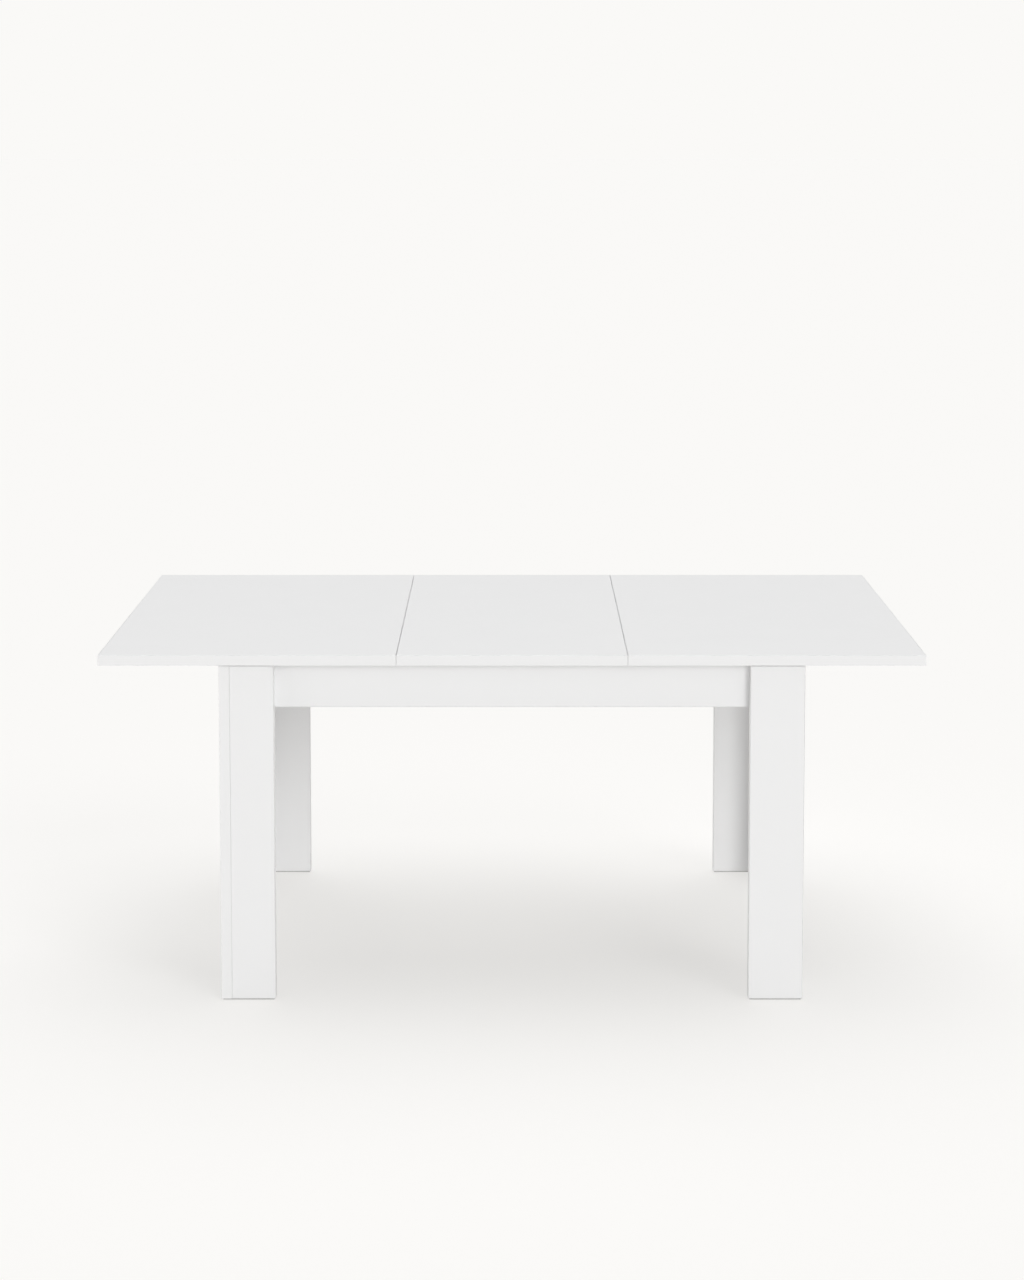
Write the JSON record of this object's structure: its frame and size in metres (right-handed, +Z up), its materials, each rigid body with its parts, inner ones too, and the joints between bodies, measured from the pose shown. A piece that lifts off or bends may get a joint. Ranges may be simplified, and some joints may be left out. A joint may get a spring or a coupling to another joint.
{
  "type": "extending dining table",
  "caption": "White extending dining table: L-section board legs, apron frame, two sliding top halves on runners, and a lift-out insert leaf between them.",
  "frame": {"origin": "on the floor, under the middle of the extended table", "axes": "+X along the length of the top, in which it extends; +Y from front to back; +Z up"},
  "size_m": [1.75, 0.9, 0.75],
  "materials": {
    "white_board": "satin white melamine",
    "top_board": "satin white melamine",
    "beech": "planed, waxed",
    "nylon": "natural nylon",
    "glide_plastic": "grey plastic strip",
    "stop_rubber": "black rubber",
    "channel_aluminium": "extruded, anodised",
    "zinc_steel": "bright zinc plated",
    "sleeve_brass": "turned"
  },
  "bodies": {
    "frame": {"front_left_leg_side_board": "white_board", "front_left_leg_front_board": "white_board", "front_right_leg_front_board": "white_board", "front_right_leg_side_board": "white_board", "back_right_leg_side_board": "white_board", "back_right_leg_back_board": "white_board", "back_left_leg_back_board": "white_board", "back_left_leg_side_board": "white_board", "leg_dowels": "beech", "glide_strips": "glide_plastic", "front_apron": "white_board", "back_apron": "white_board", "left_apron": "white_board", "right_apron": "white_board", "left_cross_rail": "white_board", "right_cross_rail": "white_board", "frame_dowels": "beech", "cam_locks": "zinc_steel", "cam_bolts": "zinc_steel", "leg_bolts": "zinc_steel", "leg_bolt_washers": "zinc_steel", "leg_threaded_sleeves": "sleeve_brass", "front_runner_channel": "channel_aluminium", "back_runner_channel": "channel_aluminium", "channel_screws": "zinc_steel", "runner_stops": "stop_rubber", "slide_pads": "nylon"},
    "left_half": {"left_top_half": "top_board", "left_front_batten": "beech", "left_back_batten": "beech", "left_front_slide_bar": "nylon", "left_back_slide_bar": "nylon", "left_batten_screws": "zinc_steel", "left_slide_bar_screws": "zinc_steel"},
    "right_half": {"right_top_half": "top_board", "right_front_batten": "beech", "right_back_batten": "beech", "right_front_slide_bar": "nylon", "right_back_slide_bar": "nylon", "right_batten_screws": "zinc_steel", "right_slide_bar_screws": "zinc_steel"},
    "insert": {"insert_leaf": "top_board", "insert_front_cleat": "beech", "insert_back_cleat": "beech", "insert_cleat_screws": "zinc_steel"}
  },
  "joints": [
    {"name": "left_half_slide", "type": "slide", "parent": "frame", "child": "left_half", "axis": [-1, 0, 0], "range_m": [0, 0.02]},
    {"name": "right_half_slide", "type": "slide", "parent": "frame", "child": "right_half", "axis": [1, 0, 0], "range_m": [0, 0.02]},
    {"name": "insert_lift", "type": "slide", "parent": "frame", "child": "insert", "axis": [0, 0, 1], "range_m": [0, 0.3]}
  ]
}
